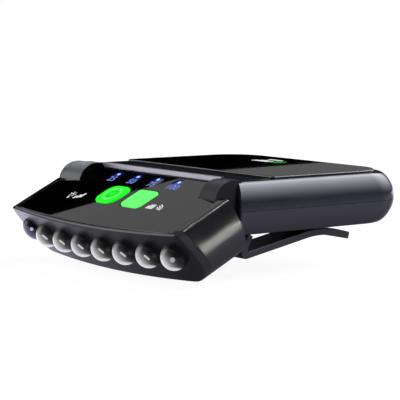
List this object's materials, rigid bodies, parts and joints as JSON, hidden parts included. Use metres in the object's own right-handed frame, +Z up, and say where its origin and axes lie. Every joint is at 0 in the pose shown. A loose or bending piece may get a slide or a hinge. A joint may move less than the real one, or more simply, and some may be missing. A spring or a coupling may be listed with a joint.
{
  "type": "clip-on cap light",
  "caption": "Flat clip-on cap light: a battery case with a springy brim clip below it and a tilting lamp head with a row of domed lamps, a hand-wave sensor and lit keys.",
  "frame": {"origin": "on the flat underside of the battery case, on the middle plane, 15 mm behind the case's front wall, where a cap brim bears", "axes": "+X to the wearer's left as the light faces forward, +Y to the rear, away from the lamps, +Z up, square to the underside"},
  "size_m": [0.0652, 0.072, 0.0218],
  "materials": {
    "case_plastic": "semi-gloss gunmetal plastic with a fine pearl, lighter along its upper edge",
    "gloss_panel": "mirror-gloss black panel",
    "trim_metal": "satin silver bar with a bright upper edge",
    "face_plastic": "dark grey semi-gloss plastic",
    "clear_lens": "clear domed lamp with a silver reflector inside",
    "sensor_lens": "dark violet infrared window",
    "green_key": "backlit green key",
    "light_green_key": "backlit light green key",
    "blue_light": "small blue-white indicator light",
    "steel": "plain bright steel",
    "board_green": "solder-masked circuit board",
    "battery_wrap": "foil pouch cell",
    "component_black": "moulded black component body",
    "wire_red": "red sleeved wires",
    "clip_plastic": "satin dark grey springy plastic"
  },
  "bodies": {
    "case": {"body_top_shell": "case_plastic", "body_bottom_shell": "case_plastic", "body_top_panel": "gloss_panel", "front_trim_bar": "trim_metal", "battery_cell": "battery_wrap", "main_board": "board_green", "usb_receptacle": "steel", "case_screw_1": "steel", "case_screw_2": "steel", "case_screw_3": "steel", "case_screw_4": "steel", "clip_base": "clip_plastic", "wire_harness_body": "wire_red"},
    "head": {"head_housing": "case_plastic", "head_top_panel": "gloss_panel", "front_bezel": "face_plastic", "led_board": "board_green", "led_lens_1": "clear_lens", "led_lens_2": "clear_lens", "led_lens_3": "clear_lens", "led_lens_4": "clear_lens", "led_lens_5": "clear_lens", "led_lens_6": "clear_lens", "led_lens_7": "clear_lens", "sensor_lens": "sensor_lens", "sensor_module": "component_black", "control_board": "board_green", "board_screw_1": "steel", "board_screw_2": "steel", "power_switch": "component_black", "sensor_switch": "component_black", "indicator_light_1": "blue_light", "indicator_light_2": "blue_light", "indicator_light_3": "blue_light", "indicator_light_4": "blue_light", "hinge_shaft_left": "steel", "hinge_shaft_right": "steel", "wire_harness_head": "wire_red"},
    "clip": {"clip_arm": "clip_plastic"},
    "power_key": {"power_button": "green_key"},
    "sensor_key": {"sensor_button": "light_green_key"}
  },
  "joints": [
    {"name": "head_tilt", "type": "hinge", "parent": "case", "child": "head", "pos_m": [0, -0.016, 0.007], "axis": [1, 0, 0], "range_deg": [-26, 26]},
    {"name": "clip_flex", "type": "hinge", "parent": "case", "child": "clip", "pos_m": [0, -0.01234, -0.00543], "axis": [-1, 0, 0], "range_deg": [0, 12], "stiffness_Nm_per_rad": 0.5},
    {"name": "power_button_press", "type": "slide", "parent": "head", "child": "power_key", "axis": [0, 0.4384, -0.8988], "range_m": [0, 0.00045], "stiffness_N_per_m": 600},
    {"name": "sensor_button_press", "type": "slide", "parent": "head", "child": "sensor_key", "axis": [0, 0.4384, -0.8988], "range_m": [0, 0.00045], "stiffness_N_per_m": 600}
  ]
}
